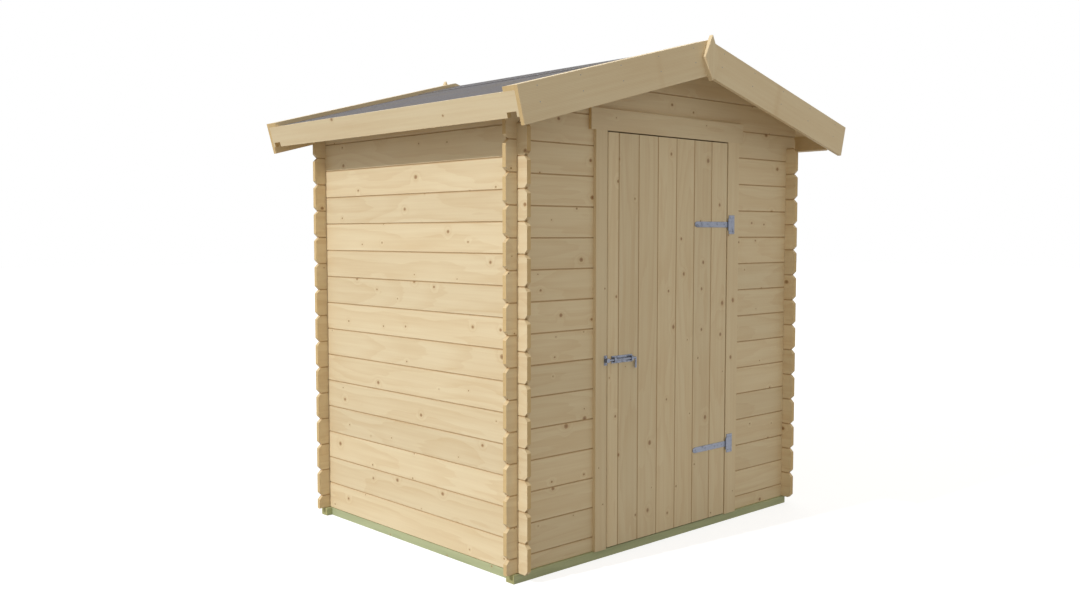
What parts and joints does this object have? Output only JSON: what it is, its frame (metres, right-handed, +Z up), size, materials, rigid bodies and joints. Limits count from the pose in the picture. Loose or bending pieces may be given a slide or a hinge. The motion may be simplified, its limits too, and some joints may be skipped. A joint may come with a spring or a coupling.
{
  "type": "log cabin",
  "caption": "Small log cabin of interlocking boards with crossed corners, a pitched felt roof with finials, and a boarded door that swings out on strap hinges and has a sliding bolt.",
  "frame": {"origin": "on the ground under the middle of the roof", "axes": "+Z up; -Y is the door wall; +X runs to the right when facing the door"},
  "size_m": [2.111, 1.786, 2.1305],
  "materials": {
    "logs": "planed untreated spruce",
    "door_boards": "planed untreated spruce",
    "trim_boards": "planed untreated spruce",
    "roof_boards": "planed untreated spruce",
    "ground_beams": "green pressure-treated softwood",
    "felt": "mineral-faced roofing felt",
    "zinc": "zinc-plated"
  },
  "bodies": {
    "cabin": {"beams_cross": "ground_beams", "beams_side": "ground_beams", "left_logs_a": "logs", "left_logs_b": "logs", "right_logs_a": "logs", "right_logs_b": "logs", "back_logs_a": "logs", "back_logs_b": "logs", "door_left_logs_a": "logs", "door_left_logs_b": "logs", "door_right_logs_a": "logs", "door_right_logs_b": "logs", "lintel_log": "logs", "gable_logs_a": "logs", "gable_logs_b": "logs", "eave_logs": "logs", "ridge_beam": "roof_boards", "roof_deck_left": "roof_boards", "roof_deck_right": "roof_boards", "roof_felt": "felt", "fascias": "trim_boards", "barges_left": "trim_boards", "barges_right": "trim_boards", "laths_left": "trim_boards", "laths_right": "trim_boards", "finials": "trim_boards", "door_jambs": "trim_boards", "door_head": "trim_boards", "door_trims": "trim_boards", "door_trim_top": "trim_boards", "hinge_plates": "zinc", "hinge_pins": "zinc", "bolt_keep": "zinc"},
    "door": {"door_boards_a": "door_boards", "door_boards_b": "door_boards", "door_ledges": "door_boards", "door_brace": "door_boards", "hinge_straps": "zinc", "bolt_plate": "zinc"},
    "bolt": {"bolt_rod": "zinc"}
  },
  "joints": [
    {"name": "door_hinge", "type": "hinge", "parent": "cabin", "child": "door", "pos_m": [0.3845, -0.695, 0.862], "axis": [0, 0, 1], "range_deg": [0, 150]},
    {"name": "bolt_slide", "type": "slide", "parent": "door", "child": "bolt", "axis": [1, 0, 0], "range_m": [-0.012, 0.026]}
  ]
}
